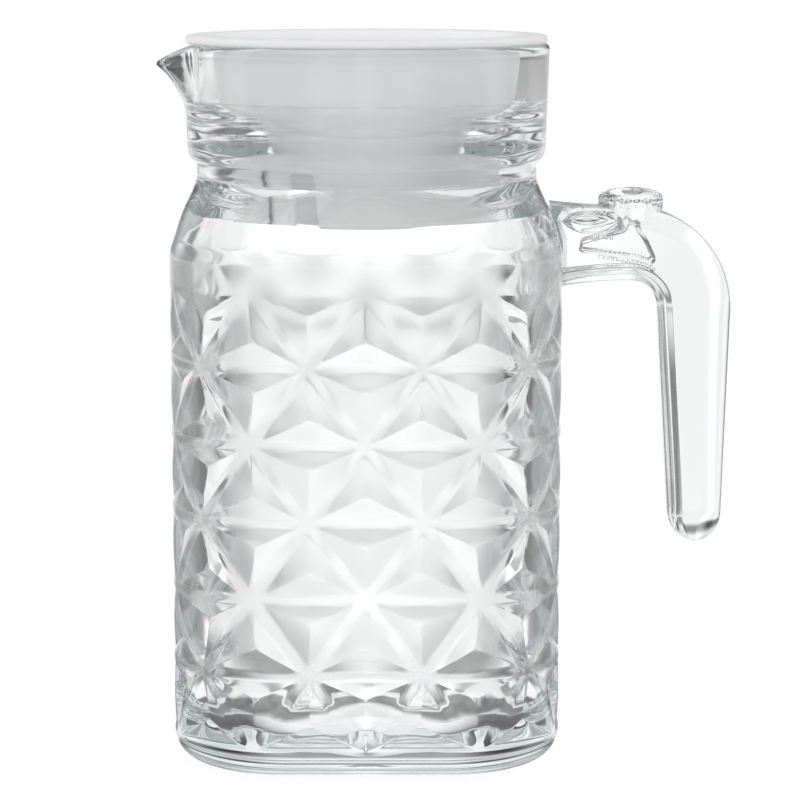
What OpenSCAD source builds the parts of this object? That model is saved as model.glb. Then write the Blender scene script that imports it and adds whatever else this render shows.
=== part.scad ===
// Half-litre glass jug with a push-in lid.
// The origin is the centre of the base on the table. +Z is up, the pouring lip points to -X
// and the handle to +X.

/* [Body] */
// Width of the body across two flat sides, under the shoulder
body_w = 76.6; // [72:0.2:84]
// Height of the start of the shoulder
shoulder_z = 100.5; // [97:0.5:103]
// Radius of the body's four upright corners
corner_r = 23; // [18:0.5:28]
// How much further in each side stands at the foot than at the shoulder
side_draft = 0.45; // [0:0.05:1]
// Thickness of the body's walls
wall = 4; // [3.4:0.1:5]
// Thickness of the glass floor
floor_t = 8; // [6.5:0.5:12]
// Height of the rounded bottom edge
foot_h = 5.8; // [4:0.2:7]
// How far the bottom edge draws in under the body
foot_in = 6.5; // [4:0.25:8]
// Width of the flat ring that the jug stands on
foot_ring = 4; // [2:0.5:6]
// Height of the hollow under the base
push_up = 2; // [0.5:0.25:3]
// Radius of the rounding between the floor and the walls inside
inner_foot_r = 7; // [4:0.5:9]

/* [Triangle lattice] */
// Number of lattice stars on each side of the body
stars_a_side = 3; // [2:1:4]
// Number of rows of triangles
lattice_rows = 6; // [4:1:7]
// Height of the plain band between the lattice and the shoulder
lattice_gap = 5.6; // [4:0.1:9]
// Depth of a triangle's pit below the ribs
pit_depth = 1.6; // [0.6:0.1:2.2]
// Width of the ribs between the pits
rib_w = 1.5; // [0.8:0.1:2.4]

/* [Neck and collar] */
// Height of the shoulder between the body and the neck
shoulder_h = 12.8; // [10:0.2:15]
// How far the neck stands in from the body's flat sides
shoulder_in = 4.65; // [3.5:0.05:6]
// Height of the neck between the shoulder and the collar
neck_h = 3.7; // [2:0.1:6]
// Thickness of the glass in the neck
neck_wall = 6.3; // [5:0.1:7]
// Height of the collar from its crease to the rim
collar_h = 23.2; // [20:0.1:27]
// Height of the collar's rounded lower edge
collar_edge = 3; // [2:0.25:4]
// How far the collar's lower edge stands out past the neck
collar_step = 1.85; // [1.4:0.05:2.4]
// How much further out the collar stands at the rim than above its lower edge
collar_flare = 0.7; // [0.2:0.05:1.5]
// Thickness of the collar at the rim
collar_wall = 3.2; // [2.4:0.1:3.6]
// Height over which the inside draws in from the collar to the neck
funnel_h = 11; // [8:0.5:14]

/* [Pouring lip] */
// How far the tip of the lip stands out past the rim
lip_out = 5.4; // [4:0.1:8]
// Height of the top of the tip below the rim
lip_drop = 3.2; // [2:0.1:5]
// Height of the lip where it leaves the collar
lip_h = 13.5; // [10:0.5:16]
// Width of the lip at the rim
lip_w = 22; // [16:0.5:26]
// Thickness of the glass in the lip
lip_t = 3; // [2.4:0.1:3.6]

/* [Handle] */
// Distance from the body's side to the centre of the handle's bend
bend_out = 14.1; // [12:0.1:18]
// Drop from the start of the shoulder to the centre of the handle's bend
bend_drop = 12.5; // [10.5:0.5:16]
// Radius of the bend on the side of the fingers
bend_r = 5.3; // [4:0.1:7]
// Height of the arm that leaves the body
arm_h = 14.6; // [12:0.2:16]
// Thickness of the grip at its lower end
grip_end_h = 10.6; // [8:0.2:12]
// Width of the handle, side to side
grip_w = 13; // [11:0.5:16]
// Width of the chamfer along the fingers' side of the handle
grip_chamfer = 2.8; // [1.5:0.1:3.5]
// Extra width and height of the arm at its root
root_flare = 3; // [1:0.5:4]
// How far the lower end of the grip leans out from the bend's inner side
grip_lean = 2.5; // [0:0.25:4]
// Length of the grip from the centre of the bend to its free lower end
grip_l = 47; // [38:1:52]
// Length of the rounded end of the grip
grip_tip = 6; // [4:0.5:8]
// Depth of the sunk panel on each side of the arm
panel_depth = 0.9; // [0.4:0.1:1.5]
// Length of the eye-shaped dimple on each side of the arm
eye_l = 11.4; // [8:0.2:12]
// Height of the eye-shaped dimple
eye_h = 5; // [3:0.2:6]

/* [Thumb knob] */
// Diameter of the knob on the arm
knob_d = 12.8; // [10:0.2:15]
// Height of the knob above the arm
knob_h = 3.8; // [2.5:0.1:5]
// Number of beads round the knob
knob_beads = 24; // [12:2:28]
// Depth of the grooves between the beads
bead_depth = 0.5; // [0.2:0.1:0.8]

/* [Lid] */
// How far the edge of the lid's flange stands in from the edge of the rim
flange_in = 0.5; // [0:0.1:1]
// Thickness of the flange
flange_t = 1.7; // [1.2:0.1:2.4]
// Thickness of the lid's walls and floor
lid_wall = 1.4; // [1:0.1:2]
// Gap between the lid's cup and the collar, under the flange
cup_gap = 2.4; // [1.6:0.1:3.5]
// Height of the cup's floor above the crease of the collar
cup_rise = 4.9; // [3.5:0.1:9]
// Clearance all round between the lid and the bore of the neck
lid_clear = 0.4; // [0.3:0.05:0.8]
// Length of the skirt below the crease of the collar
skirt_l = 12; // [9:0.5:14]
// How much further in the skirt's lower edge stands than its upper end
skirt_draft = 0.8; // [0.3:0.1:1.2]
// Width of the pouring slot in the skirt
slot_w = 4.7; // [3:0.1:8]
// Height of the pouring slot
slot_h = 11; // [7:0.5:12]
// Direction of the pouring slot, turned from the front towards the lip
slot_angle = 25; // [10:1:80]
// Width of the spring tongue beside the slot
tongue_w = 6; // [4:0.25:8]
// Width of the slit that frees the tongue
slit_w = 0.6; // [0.4:0.1:1]
// How far the tongue's bead stands out
bead_out = 0.25; // [0.1:0.05:0.3]

/* [Hidden] */
$fn = 96;

glass = [0.80, 0.87, 0.86, 0.55];
milky = [0.88, 0.88, 0.89];

// Overrun of cuts past a surface
over = wall / 4;

// The body's outline is divided evenly, so that each lattice line has this many points
side_steps = 4;
columns = 4 * stars_a_side;
ring_n = columns * side_steps;
body_half = body_w / 2;
lattice_top = shoulder_z - lattice_gap;
lattice_pitch = (lattice_top - foot_h) / lattice_rows;
neck_r = body_half - shoulder_in;
bore_r = neck_r - neck_wall;
neck_z = shoulder_z + shoulder_h;
collar_z = neck_z + neck_h;
collar_low_r = neck_r + collar_step;
collar_r = collar_low_r + collar_flare;
mouth_r = collar_r - collar_wall;
rim_z = collar_z + collar_h;
// The pits are shallower in the highest and the lowest row
top_row_share = 0.55;
foot_row_share = 0.8;
// Steps of a rounded edge
edge_steps = 4;
shoulder_steps = 6;
// How much the shoulder bulges past a straight slope
bulge_share = 0.4;
// Steps of the curves inside the collar and on the lid's cup
funnel_steps = 8;
// How far the shoulder's last ring stands out past the round part that it joins
join_out = wall / 16;

// Half width of the body at a height, with its draft
function half_at(z) = body_half - side_draft * (1 - z / shoulder_z);

// A place on a rounded square with its centre on the axis. turn is a share of the way
// round, from the middle of the front and towards +X.
function square_point(turn, half, r) =
    let (flat = half - r)
    let (quarter = 2 * flat + PI * r / 2)
    let (side = floor(turn * 4 + 1 / 2))
    let (along = (turn * 4 - side) * quarter)
    let (bent = max(0, abs(along) - flat) / r * 180 / PI)
    let (x = sign(along) * (min(abs(along), flat) + r * sin(bent)))
    let (y = -flat - r * cos(bent))
    let (a = 90 * side)
    [x * cos(a) - y * sin(a), x * sin(a) + y * cos(a)];

// The same place at a height, sunk by a depth. Sinking draws in the corner as well.
function skin_point(turn, half, r, z, depth = 0) =
    let (p = square_point(turn, half - depth, max(r - depth, depth)))
    [p.x, p.y, z];

function row_depth(row) =
    pit_depth * (row == lattice_rows - 1 ? top_row_share : row == 0 ? foot_row_share : 1);

function ring(half, r, z) = [for (i = [0:ring_n - 1]) skin_point(i / ring_n, half, r, z)];

// One row of the shoulder: a slightly bulging slope from the rounded square to the round neck
function shoulder_ring(half, r, neck, z0, z1, step) =
    let (t = step / shoulder_steps)
    let (out = (1 - t) * (1 + bulge_share * t))
    ring(neck + (half - neck) * out, neck + (r - neck) * out, z0 + (z1 - z0) * t);

// Faces between two rings that start at points a and b
function ring_faces(a, b) =
    [for (i = [0:ring_n - 1]) let (j = (i + 1) % ring_n)
        each [[a + i, b + i, a + j], [a + j, b + i, b + j]]];
function fan_up(a, top) = [for (i = [0:ring_n - 1]) [a + i, top, a + (i + 1) % ring_n]];
function fan_down(a, low) = [for (i = [0:ring_n - 1]) [low, a + i, a + (i + 1) % ring_n]];

// The lattice: stars stand on level lines, and every other line is turned by half a column.
// A lattice point is [column, line], and its column may be a half.
function star(column, line) = [column + (line % 2) / 2, line];
function share_of(p) = (p[0] + columns) % columns / columns;
function mix(a, b, t) = a * (1 - t) + b * t;

// Points along the outside of a triangle with corners a, b and c
function triangle_edge(a, b, c) =
    [for (pair = [[a, b], [b, c], [c, a]]) for (k = [0:side_steps - 1])
        mix(pair[0], pair[1], k / side_steps)];

function lattice_point(p, depth) =
    let (z = foot_h + p[1] * lattice_pitch)
    skin_point(share_of(p), half_at(z), corner_r, z, depth);

// A pit: three facets that fall from the ribs to the middle of the triangle
function pit_points(a, b, c, depth) =
    let (mid = (a + b + c) / 3)
    let (column_w = 2 * PI * body_half / columns)
    let (draw_in = 1 - rib_w / column_w * sqrt(3))
    concat(
        [for (p = triangle_edge(a, b, c)) lattice_point(p, 0)],
        [for (p = triangle_edge(a, b, c)) lattice_point(mix(mid, p, draw_in), 0)],
        [lattice_point(mid, depth)]
    );
pit_n = 3 * side_steps;
function pit_faces(start) =
    [for (i = [0:pit_n - 1]) let (j = (i + 1) % pit_n)
        each [
            [start + i, start + pit_n + i, start + j],
            [start + j, start + pit_n + i, start + pit_n + j],
            [start + pit_n + i, start + 2 * pit_n, start + pit_n + j]
        ]];

// The triangles of one row: one on its base and one on its tip in each column
function row_triangles(row) =
    [for (k = [0:columns - 1])
        let (low = star(k, row))
        let (next = low + [1, 0])
        let (up = low + [1 / 2, 1])
        each [[low, up, next, row], [up, up + [1, 0], next, row]]];
lattice = [for (row = [0:lattice_rows - 1]) each row_triangles(row)];
lattice_points = [for (t = lattice) each pit_points(t[0], t[1], t[2], row_depth(t[3]))];
lattice_faces = [for (i = [0:len(lattice) - 1]) each pit_faces(i * (2 * pit_n + 1))];

// The points of the lattice's first and last line, in order round the body
function line_ring(line) =
    let (shift = (line % 2) * side_steps / 2)
    let (z = foot_h + line * lattice_pitch)
    [for (i = [0:ring_n - 1])
        skin_point(share_of([(i + shift) / side_steps, line]), half_at(z), corner_r, z)];

function turned_ring(points, line) =
    let (shift = (line % 2) * side_steps / 2)
    [for (i = [0:ring_n - 1]) points[(i + shift) % ring_n]];

module blank_body() {
    foot_half = half_at(foot_h);
    above = [for (z = [(lattice_top + shoulder_z) / 2]) ring(half_at(z), corner_r, z)];
    shoulder = [for (k = [0:shoulder_steps])
        shoulder_ring(body_half, corner_r, neck_r + join_out, shoulder_z, neck_z, k)];
    foot = [for (k = [1:edge_steps])
        let (a = 90 * k / edge_steps)
        let (draw = foot_in * (1 - cos(a)))
        ring(foot_half - draw, corner_r - draw, foot_h * (1 - sin(a)))];
    hollow_in = foot_in + foot_ring;
    hollow = [ring(foot_half - hollow_in, corner_r - hollow_in, 0),
        ring(foot_half - 2 * hollow_in, max(corner_r - 2 * hollow_in, foot_ring / 2), push_up)];
    upper = [for (r = concat(above, shoulder)) turned_ring(r, lattice_rows)];
    lower = concat(foot, hollow);
    top_line = turned_ring(line_ring(lattice_rows), 0);
    low_line = line_ring(0);
    stack_up = concat([top_line], upper);
    stack_down = concat([low_line], lower);
    first_up = len(lattice_points);
    first_down = first_up + len(stack_up) * ring_n;
    top_mid = first_down + len(stack_down) * ring_n;
    points = concat(lattice_points, [for (r = stack_up) each r], [for (r = stack_down) each r],
        [[0, 0, neck_z], [0, 0, push_up]]);
    faces = concat(lattice_faces,
        [for (k = [0:len(stack_up) - 2])
            each ring_faces(first_up + k * ring_n, first_up + (k + 1) * ring_n)],
        fan_up(first_up + (len(stack_up) - 1) * ring_n, top_mid),
        [for (k = [0:len(stack_down) - 2])
            each ring_faces(first_down + (k + 1) * ring_n, first_down + k * ring_n)],
        fan_down(first_down + (len(stack_down) - 1) * ring_n, top_mid + 1));
    polyhedron(points, faces);
}

module body_cavity() {
    inner_r = corner_r - wall;
    floor_half = half_at(floor_t) - wall;
    foot = [for (k = [0:edge_steps])
        let (a = 90 * k / edge_steps)
        let (draw = inner_foot_r * (1 - sin(a)))
        ring(floor_half - draw, inner_r - draw, floor_t + inner_foot_r * (1 - cos(a)))];
    low = shoulder_z - wall / 2;
    high = neck_z - wall / 2;
    shoulder = [for (k = [0:shoulder_steps])
        shoulder_ring(body_half - wall, inner_r, bore_r + join_out, low, high, k)];
    stack = concat(foot, shoulder);
    last = (len(stack) - 1) * ring_n;
    mid = len(stack) * ring_n;
    points = concat([for (r = stack) each r], [[0, 0, floor_t], [0, 0, high]]);
    faces = concat([for (k = [0:len(stack) - 2]) each ring_faces(k * ring_n, (k + 1) * ring_n)],
        fan_up(last, mid + 1), fan_down(0, mid));
    polyhedron(points, faces);
}

module neck_and_collar() {
    edge = [for (k = [0:edge_steps])
        let (a = 90 * k / edge_steps)
        [neck_r + collar_step * sin(a), collar_z + collar_edge * (1 - cos(a))]];
    rim_round = lip_t / 4;
    rotate_extrude()
        polygon(concat([[0, shoulder_z], [neck_r, shoulder_z]], edge,
            [[collar_r, rim_z - rim_round], [collar_r - rim_round, rim_z], [0, rim_z]]));
}

// The bore of the neck, the funnel above it and the mouth
module mouth() {
    funnel = [for (k = [0:funnel_steps])
        let (t = k / funnel_steps)
        [mix(bore_r, mouth_r, (1 - cos(180 * t)) / 2), collar_z + collar_edge / 3 + funnel_h * t]];
    rotate_extrude()
        polygon(concat([[0, shoulder_z - wall / 2], [bore_r, shoulder_z - wall / 2]], funnel,
            [[mouth_r, rim_z + over], [0, rim_z + over]]));
}

// The lip is a spout pressed out of the collar. A ball marks each end of its outline.
module lip_ball(x, y, z, r) {
    translate([x, y, z])
        sphere(r = r, $fn = 24);
}

module lip_outside() {
    r = lip_t / 2;
    tip = collar_r + lip_out;
    root = sqrt(pow(collar_r, 2) - pow(lip_w / 2, 2)) - r;
    hull() {
        lip_ball(r - tip, 0, rim_z - lip_drop - r, r);
        for (side = [-1, 1])
            lip_ball(-root, side * lip_w / 2, rim_z - r, r);
        lip_ball(lip_t - collar_low_r, 0, rim_z - lip_h, r);
    }
}

module lip_channel() {
    r = lip_t / 4;
    inside = mouth_r - lip_t;
    half_w = lip_w / 2 - lip_t;
    tip = collar_r + lip_out - lip_t;
    hull() {
        lip_ball(r - tip, 0, rim_z - lip_drop + r, r);
        lip_ball(r - tip, 0, rim_z + over + r, r);
        for (side = [-1, 1]) {
            lip_ball(-inside, side * half_w, rim_z - lip_drop, r);
            lip_ball(-inside, side * half_w, rim_z + over + r, r);
        }
        lip_ball(-inside, 0, rim_z - lip_h + 2 * lip_t, r);
    }
}

// The handle is swept along its arm, its bend and its grip. A station of the sweep is
// [place on the inner side, place on the outer side, share of the full width].
bend_x = body_half + bend_out;
bend_z = shoulder_z - bend_drop;
grip_z = bend_z - grip_l;
arm_root = body_half - wall / 2;
arm_steps = 4;
bend_steps = 8;
grip_steps = 6;
tip_steps = 4;
// The outer half of the section is rounded: 2 gives an ellipse, and more gives squarer corners
section_power = 2.7;
outer_steps = 6;
// Share of the width that is left flat between the two chamfers
inner_flat_share = 0.4;
// Share of the handle's thickness that the chamfer takes at most
chamfer_limit_share = 0.25;
// Share of the full width that the grip keeps at its lower end
grip_end_share = 0.9;

function root_share(x) = pow(max(0, 1 - (x - arm_root) / (bend_x - arm_root)), 2);
arm_stations = [for (k = [0:arm_steps - 1])
    let (x = mix(arm_root, bend_x, k / arm_steps))
    let (flare = root_flare * root_share(x))
    [[x, bend_z + bend_r - flare / 2], [x, bend_z + bend_r + arm_h + flare / 4], 1 + flare / grip_w]];
bend_stations = [for (k = [0:bend_steps])
    let (a = 90 * (1 - k / bend_steps))
    let (way = [cos(a), sin(a)])
    [[bend_x, bend_z] + bend_r * way, [bend_x, bend_z] + (bend_r + arm_h) * way, 1]];
grip_inner = bend_x + bend_r;
grip_outer = grip_inner + arm_h;
tip_top = grip_z + grip_tip;
grip_end_in = grip_inner + grip_lean;
grip_stations = [for (k = [1:grip_steps])
    let (t = k / grip_steps)
    let (z = mix(bend_z, tip_top, t))
    let (outer = mix(grip_outer, grip_end_in + grip_end_h, t))
    [[mix(grip_inner, grip_end_in, t), z], [outer, z], mix(1, grip_end_share, t)]];
tip_stations = [for (k = [1:tip_steps])
    let (a = 90 * k / (tip_steps + 1 / 3))
    let (mid = grip_end_in + grip_end_h / 2)
    let (half = grip_end_h / 2 * cos(a))
    let (z = tip_top - grip_tip * sin(a))
    [[mid - half, z], [mid + half, z], grip_end_share * cos(a)]];
stations = concat(arm_stations, bend_stations, grip_stations, tip_stations);

// Half of the section, from the middle of the outer side to the middle of the inner one:
// [share of the way from the inner side to the outer one, share of the half width]
function half_section(thick) =
    concat(
        [for (k = [outer_steps:-1:0])
            let (a = 90 * k / outer_steps)
            [(1 + pow(sin(a), 2 / section_power)) / 2, pow(cos(a), 2 / section_power)]],
        [[min(grip_chamfer / thick, chamfer_limit_share), 1], [0, inner_flat_share], [0, 0]]
    );
section_n = 2 * (outer_steps + 3);
function section(station) =
    let (out = station[1] - station[0])
    let (half = half_section(norm(out)))
    let (last = len(half) - 1)
    [for (i = [0:section_n - 1])
        let (at = i <= last ? half[i] : half[section_n - i])
        let (p = station[0] + out * at[0])
        [p.x, (i <= last ? 1 : -1) * grip_w / 2 * station[2] * at[1], p.y]];

module handle_sweep() {
    n = section_n;
    last = (len(stations) - 1) * n;
    tip_mid = [grip_end_in + grip_end_h / 2, 0, grip_z];
    root_mid = [arm_root, 0, bend_z + bend_r + arm_h / 2];
    points = concat([for (s = stations) each section(s)], [root_mid, tip_mid]);
    ends = len(points) - 2;
    faces = concat(
        [for (s = [0:len(stations) - 2]) for (i = [0:n - 1])
            let (j = (i + 1) % n)
            let (a = s * n)
            let (b = a + n)
            each [[a + i, a + j, b + i], [a + j, b + j, b + i]]],
        [for (i = [0:n - 1]) [ends, (i + 1) % n, i]],
        [for (i = [0:n - 1]) [ends + 1, last + i, last + (i + 1) % n]]);
    polyhedron(points, faces);
}

// Corners of the sunk panel on a side of the arm: [share of the way from the body to the
// inner side of the grip, share of the arm's height]
panel_shares = [[0.17, 0.4], [0.8, 0.29], [1, 0.18], [1.1, 0.24], [0.9, 0.58], [0.76, 0.74], [0.74, 0.92],
    [0.62, 0.7], [0.2, 0.56]];

module arm_panel() {
    arm_l = bend_x + bend_r - body_half;
    r = arm_h / 24;
    translate([0, -grip_w / 2 - over, 0])
        rotate([90, 0, 0])
            translate([0, 0, -over - panel_depth])
                linear_extrude(over + panel_depth + over)
                    offset(r)
                        offset(-r)
                            polygon([for (s = panel_shares)
                                [body_half + arm_l * s[0], bend_z + bend_r + arm_h * s[1]]]);
}

module eye_dimple() {
    sag = eye_h / 2;
    arc_r = (pow(eye_l / 2, 2) + pow(sag, 2)) / (2 * sag);
    steps = 12;
    sweep = asin(eye_l / 2 / arc_r);
    translate([body_half + eye_l / 2, -grip_w / 2, bend_z + bend_r + arm_h - eye_h / 2])
        rotate([0, 90, 0])
            rotate_extrude($fn = 32)
                polygon([for (k = [0:steps])
                    let (a = mix(-sweep, sweep, k / steps))
                    [max(0, arc_r * cos(a) - arc_r + sag), arc_r * sin(a)]]);
}

// Share of the knob's height that its upright wall takes, under the dome
knob_wall_share = 0.45;

// A low dome on an upright wall, which upright grooves cut into beads
module thumb_knob() {
    r = knob_d / 2;
    top = bend_z + bend_r + arm_h;
    wall_top = top + knob_h * knob_wall_share;
    sunk = arm_h / 4;
    groove = bead_depth / 2;
    around = 6 * knob_beads;
    translate([bend_x, 0, 0])
        intersection() {
            translate([0, 0, top - sunk])
                linear_extrude(sunk + knob_h + over)
                    polygon([for (i = [0:around - 1])
                        let (a = 360 * i / around)
                        let (p = r - groove - groove * (1 - cos(a * knob_beads)))
                        p * [cos(a), sin(a)]]);
            rotate_extrude()
                polygon(concat([[0, top - arm_h / 2], [r, top - arm_h / 2]],
                    [for (k = [0:2 * edge_steps])
                        let (a = 90 * k / (2 * edge_steps))
                        [r * cos(a), mix(wall_top, top + knob_h, sin(a))]]));
        }
}

module handle() {
    difference() {
        union() {
            handle_sweep();
            thumb_knob();
        }
        for (side = [0, 1])
            mirror([0, side, 0]) {
                arm_panel();
                eye_dimple();
            }
    }
}

module glass_jug() {
    color(glass)
        difference() {
            union() {
                blank_body();
                neck_and_collar();
                lip_outside();
                handle();
            }
            body_cavity();
            mouth();
            lip_channel();
        }
}

skirt_r = bore_r - lid_clear;
cup_r = mouth_r - cup_gap;
flange_r = collar_r - flange_in;
flange_z = rim_z;
lid_top = flange_z + flange_t;
cup_floor = collar_z + cup_rise;
skirt_low = collar_z - skirt_l;
// The cup's wall is a bowl: a power of the height, and 1 gives a cone
bowl_power = 0.55;

function bowl_point(step, inward) =
    let (t = step / funnel_steps)
    [mix(skirt_r, cup_r, pow(t, bowl_power)) - inward, mix(cup_floor, flange_z, t)];

module lid_shell() {
    low_r = skirt_r - skirt_draft;
    round = flange_t / 4;
    rotate_extrude()
        polygon(concat(
            [[0, cup_floor - lid_wall], [skirt_r - lid_wall, cup_floor - lid_wall],
                [low_r - lid_wall, skirt_low], [low_r, skirt_low]],
            [for (k = [0:funnel_steps]) bowl_point(k, 0)],
            [[flange_r - round, flange_z], [flange_r, flange_z + round],
                [flange_r, lid_top - round], [flange_r - round, lid_top],
                [cup_r - lid_wall, lid_top]],
            [for (k = [funnel_steps:-1:0]) bowl_point(k, lid_wall)],
            [[0, cup_floor]]
        ));
}

// A cutter through the front of the skirt, turned towards the pouring lip
module skirt_cut(angle, width, height) {
    rotate([0, 0, -angle])
        translate([-width / 2, -skirt_r - over, skirt_low - over])
            cube([width, skirt_r / 2, height + over]);
}

function skirt_turn(width) = 2 * asin(width / 2 / skirt_r);

module tongue_bead() {
    mid = slot_angle + skirt_turn(slot_w) / 2 + skirt_turn(tongue_w) / 2;
    z = skirt_low + slot_h / 3;
    r = skirt_r - skirt_draft * (1 - (z - skirt_low) / (cup_floor - skirt_low));
    rotate([0, 0, -90 - mid - skirt_turn(tongue_w) / 3])
        rotate_extrude(angle = skirt_turn(tongue_w) * 2 / 3)
            polygon([[r - lid_wall / 2, z - lid_wall / 2], [r, z - lid_wall / 2],
                [r + bead_out, z], [r, z + lid_wall / 2], [r - lid_wall / 2, z + lid_wall / 2]]);
}

module lid() {
    slit_angle = slot_angle + skirt_turn(slot_w) / 2 + skirt_turn(tongue_w);
    color(milky)
        difference() {
            union() {
                lid_shell();
                tongue_bead();
            }
            skirt_cut(slot_angle, slot_w, slot_h);
            skirt_cut(slit_angle, slit_w, slot_h);
        }
}

glass_jug();
lid();
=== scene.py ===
import math

import bmesh
import bpy
import numpy as np
from bpy.props import FloatProperty, IntProperty, PointerProperty, StringProperty
from bpy.types import Operator, Panel, PropertyGroup
from mathutils import Matrix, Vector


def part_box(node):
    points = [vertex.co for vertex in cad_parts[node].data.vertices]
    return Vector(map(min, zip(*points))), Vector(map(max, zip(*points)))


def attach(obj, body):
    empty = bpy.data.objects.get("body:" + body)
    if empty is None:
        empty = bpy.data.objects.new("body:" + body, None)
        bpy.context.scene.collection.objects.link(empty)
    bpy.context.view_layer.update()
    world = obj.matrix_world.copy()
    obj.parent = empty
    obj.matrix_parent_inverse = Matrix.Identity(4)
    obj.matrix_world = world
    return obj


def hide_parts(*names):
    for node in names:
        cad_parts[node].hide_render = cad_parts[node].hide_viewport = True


bl_info = {
    "name": "Glass jug with lid",
    "version": (1, 0, 0),
    "blender": (4, 5, 0),
    "location": "View3D > Sidebar > Jug",
    "description": "Builds a pressed glass jug with a push-in lid round its construction model",
    "category": "Mesh",
}

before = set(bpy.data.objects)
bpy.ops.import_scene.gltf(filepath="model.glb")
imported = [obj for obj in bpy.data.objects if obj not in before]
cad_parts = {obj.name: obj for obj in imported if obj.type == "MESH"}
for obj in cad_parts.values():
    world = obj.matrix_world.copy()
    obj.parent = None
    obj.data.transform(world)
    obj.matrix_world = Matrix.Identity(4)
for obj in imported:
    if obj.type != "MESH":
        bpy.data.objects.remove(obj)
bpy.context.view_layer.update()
jug_low, jug_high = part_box("glass_jug")
lid_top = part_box("lid")[1][2]
rim_z = jug_high[2]
MM = 0.001

# Points along one column of the lattice, and so along the jug's whole outline
COLUMN_STEPS = 16
# How much closer the points of the collar's rings stand at the lip, where 0 is even
CROWDING = 0.62
# Share of the way round, from the front towards +X, at which the lip stands
LIP_TURN = 0.75
# Steps along the rounded corners of the body and the handle, of the rim and the flange, and of the skirt
CORNER_STEPS = 8
RIM_STEPS = 6
SKIRT_STEPS = 5
# Steps along the longer arcs: the foot's edge and the funnel, the handle's bend, its tip and the knob's dome
FOOT_STEPS = 10
BEND_STEPS = 24
TIP_STEPS = 14
DOME_STEPS = 18
# Rings along the stretches between them, with both ends
BAND_RINGS = 3
COLLAR_RINGS = 24
WALL_RINGS = 10
ARM_RINGS = 17
GRIP_RINGS = 25
SLOPE_RINGS = 7
BOWL_RINGS = 25
# Points round the lid and round a lens, and rings along a lens
LID_POINTS = 256
LENS_POINTS = 48
LENS_RINGS = 31

# Last ring of a pit on the way to its middle, and depth of its blunt middle, as shares of a sharp pit
PIT_LAST_RING = 0.9
PIT_MIDDLE = 0.95
# How much shallower the pits get at the top and at the foot. At the foot that takes one row. At the top it
# begins and ends at these rows, counted from the uppermost line of stars
TOP_FADE = 0.85
TOP_FADE_ROWS = (-0.9, 0.15)
FOOT_FADE = 0.25
# The hollow under the base, from the inside out: distance from the body's outline as a share of the foot's
# draw-in and ring together, and height as a share of the push-up
HOLLOW = ((2.2, 1), (1.9, 0.95), (1.4, 0.5), (1.1, 0.06), (1, 0))
# Place of the shoulder's bulge as a share of its draw-in, and its radius in shoulder roundings
BULGE = 0.6
BULGE_ROUND = 4
# Straight length of the neck over the shoulder, and how far under the crease the neck's last ring stands
NECK_STRAIGHT = 2 * MM
UNDER_CREASE = 0.3 * MM
# How steeply the lip rises out of the collar, and how its tip dips below the rim
LIP_RISE = 1.3
LIP_DIP = 2
# How round the bowl of the lid is: 1 is a straight cone
BOWL_POWER = 0.55
# Rounding of the flange's upper edges, outside and inside, as multiples of the lid's own
FLANGE_OUTER = 1.4
FLANGE_INNER = 1.6

# The stepped chamfer on the finger side: shares of its depth, of the handle's half width, and the rounding
# as a share of that half width
CHAMFER = ((0, 0.42, 0.1), (0.65, 0.52, 0.06), (1, 0.99, 0.08))
# Rounding of the handle's outer edges at its root and from the bend on, as a share of its half width
ROOT_ROUND = 0.3
GRIP_ROUND = 0.6
# Width of the grip's lower end as a share of the handle's
GRIP_END_WIDTH = 0.9
# How blunt the grip's tip is from the side of the fingers: 1 is a half circle and 0 is square
TIP_POWER = 0.3
# Extra points along a flat side, as shares of its length
FLAT_POINTS = (0.05, 0.2, 0.5, 0.8, 0.95)
# Corners of the sunk panel: shares of the way from the body to the grip and of the arm's height, and the
# rounding in mm
PANEL = ((0.5, 0.345, 0), (0.8, 0.29, 3), (1.03, 0.18, 1.2), (0.9, 0.56, 4), (0.79, 0.76, 1.2),
         (0.72, 0.88, 1), (0.63, 0.72, 1.2), (0.2, 0.56, 0.8), (0.17, 0.405, 0.8), (0.5, 0.345, 0))
# Rows of small beads under the eye and along the panel: how many, radius in mm, then in shares of the arm the
# first one's place across and the step to the next, its place up, the fall at each step and its bend
BEAD_ROWS = ((6, 0.42, 0.24, 0.055, 0.625, 0.004, 0), (17, 0.36, 0.2, 0.047, 0.36, 0.0022, 0.00055))
# Depth of the eye as a share of half its height
EYE_DEPTH = 0.55
# The smaller lens in the eye: length and height as shares of the eye's, depth as a share of half its height,
# and place from the eye's middle in mm along, inward and up
PUPIL_SIZE = (0.5, 0.45, 0.7)
PUPIL_PLACE = (-0.6, 1.3, 0.3)
# Least angle of an edge that is shaded as sharp, in degrees
GLASS_SHARP = 24
LID_SHARP = 30

# The studio as shiny surfaces see it, in levels where 1 is white. Heights are sines of the elevation. Sides
# are sines and turns are cosines of the angle from straight behind or before the jug. Each pair is where a
# change begins and where it ends
# Low white behind the jug, which falls off a little to the sides
WHITE = 1.19
WHITE_SIDES = (0.035, 0.15)
WHITE_OUTER = 0.9
# Grey above that white, straight behind the jug and to its sides
GREY_HEIGHTS = (-0.06, 0.05)
GREY_SIDES = (0.02, 0.2)
GREY_INNER = 0.4
GREY_OUTER = 0.05
# A little more light further out
WIDE_SIDES = (0.2, 0.5)
WIDE = 0.15
# A lighter ceiling
CEILING_HEIGHTS = (0.1, 0.3)
CEILING = 0.7
# Dark flags low at the diagonals, with a gap in the middle of each side
FLAG_TURNS = (0.7, 0.94)
FLAG = 0.02
GAP_TURNS = (0.1, 0.22)
FLAG_HEIGHTS = (-0.06, -0.035)
# Plain light on matt things: level at the horizon and overhead, and the height where that is reached
SKY_LOW = 1.95
SKY_HIGH = 0.4
SKY_TOP = 0.8
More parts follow.
